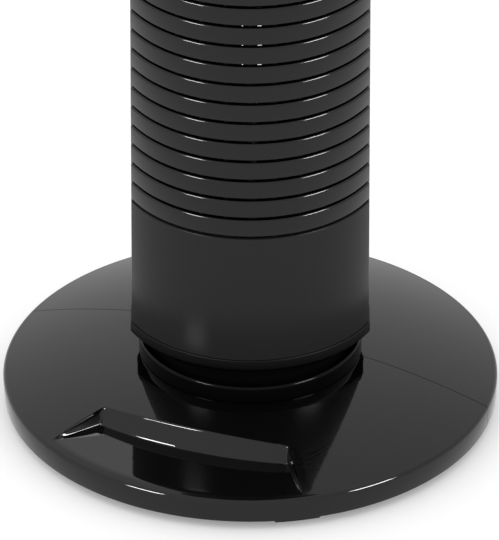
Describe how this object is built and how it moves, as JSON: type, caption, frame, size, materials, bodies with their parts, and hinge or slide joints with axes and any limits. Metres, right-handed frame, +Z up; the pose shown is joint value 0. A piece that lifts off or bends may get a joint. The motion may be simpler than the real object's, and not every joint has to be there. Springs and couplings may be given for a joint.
{
  "type": "tower fan",
  "caption": "Free-standing tower fan: slim ribbed column that swings on a round domed base, with a cross-flow blower inside.",
  "frame": {"origin": "centre of the circle the feet stand on, on the swivel axis, at floor level", "axes": "+Z up along the column, -Y the way the column's front faces at rest, +X to the right seen from the front is the viewer's right"},
  "size_m": [0.2408, 0.2408, 0.762],
  "materials": {
    "gloss_black": "polished injection-moulded ABS, high gloss black",
    "satin_black": "fine spark-eroded satin black ABS",
    "key_grey": "satin mid grey ABS",
    "rubber_black": "matt black rubber",
    "nylon_white": "natural nylon",
    "blower_grey": "dark grey filled plastic",
    "zinc_steel": "zinc plated pressed steel",
    "screw_steel": "black zinc plated steel",
    "bright_steel": "ground steel",
    "bronze": "sintered bronze",
    "copper_enamel": "enamelled copper wire",
    "capacitor_black": "moulded capacitor case",
    "lead_sleeve": "pvc sleeve round the leads"
  },
  "bodies": {
    "base": {"base_front_half": "gloss_black", "base_rear_half": "gloss_black", "base_collar": "gloss_black", "foot_pads": "rubber_black", "turntable_plate": "satin_black", "thrust_washer": "nylon_white", "swivel_retainer": "zinc_steel", "oscillation_arm": "zinc_steel", "arm_screws": "screw_steel", "base_screws": "screw_steel"},
    "column": {"bearing_cap": "satin_black", "bottom_skirt": "satin_black", "bracket_screws": "screw_steel", "capacitor": "capacitor_black", "carry_handle": "satin_black", "column_floor": "satin_black", "control_panel": "satin_black", "cord_gland": "rubber_black", "duct_floor": "satin_black", "duct_roof": "satin_black", "duct_scroll": "satin_black", "duct_tongue": "satin_black", "front_grille": "gloss_black", "head_front_cover": "gloss_black", "housing_screws": "screw_steel", "key_switch_block": "satin_black", "lower_front_cover": "gloss_black", "motor_deck": "satin_black", "motor_grommets": "rubber_black", "motor_lower_shield": "zinc_steel", "motor_screws": "screw_steel", "motor_stator": "zinc_steel", "motor_upper_shield": "zinc_steel", "motor_windings": "copper_enamel", "oscillation_bracket": "zinc_steel", "oscillation_motor": "zinc_steel", "rear_housing": "gloss_black", "timer_body": "satin_black", "top_cap": "gloss_black", "upper_bush": "bronze", "wiring_loom": "lead_sleeve"},
    "crank": {"crank_disc": "nylon_white", "crank_roller": "nylon_white", "crank_shaft": "bright_steel"},
    "blower": {"blower_segments": "blower_grey", "blower_end_disc": "blower_grey", "blower_top_pin": "bright_steel", "blower_hub": "rubber_black", "motor_shaft": "bright_steel", "motor_rotor": "zinc_steel"},
    "knob": {"timer_knob": "satin_black", "timer_shaft": "bright_steel"},
    "key_off": {"key_off": "key_grey"},
    "key_low": {"key_low": "key_grey"},
    "key_medium": {"key_medium": "key_grey"},
    "key_high": {"key_high": "key_grey"},
    "key_swing": {"key_swing": "key_grey"}
  },
  "joints": [
    {"name": "swivel", "type": "hinge", "parent": "base", "child": "column", "pos_m": [0, 0, 0.03], "axis": [0, 0, 1], "range_deg": [-56, 14]},
    {"name": "crank_turn", "type": "hinge", "parent": "column", "child": "crank", "pos_m": [0, 0.02, 0.04], "axis": [0, 0, 1], "range_deg": [-36, 142.5]},
    {"name": "blower_spin", "type": "hinge", "parent": "column", "child": "blower", "pos_m": [0.003, 0.003, 0.3], "axis": [0, 0, 1], "continuous": true},
    {"name": "timer_turn", "type": "hinge", "parent": "column", "child": "knob", "pos_m": [0, 0.014, 0.75], "axis": [0, 0, 1], "range_deg": [-300, 0]},
    {"name": "press_key_off", "type": "slide", "parent": "column", "child": "key_off", "axis": [0, 0, -1], "range_m": [0, 0.003], "stiffness_N_per_m": 350},
    {"name": "press_key_low", "type": "slide", "parent": "column", "child": "key_low", "axis": [0, 0, -1], "range_m": [0, 0.003], "stiffness_N_per_m": 350},
    {"name": "press_key_medium", "type": "slide", "parent": "column", "child": "key_medium", "axis": [0, 0, -1], "range_m": [0, 0.003], "stiffness_N_per_m": 350},
    {"name": "press_key_high", "type": "slide", "parent": "column", "child": "key_high", "axis": [0, 0, -1], "range_m": [0, 0.003], "stiffness_N_per_m": 350},
    {"name": "press_key_swing", "type": "slide", "parent": "column", "child": "key_swing", "axis": [0, 0, -1], "range_m": [0, 0.003], "stiffness_N_per_m": 350}
  ],
  "couplings": [
    {"joint": "crank_turn", "follows": "swivel", "ratio": -2.5316}
  ]
}
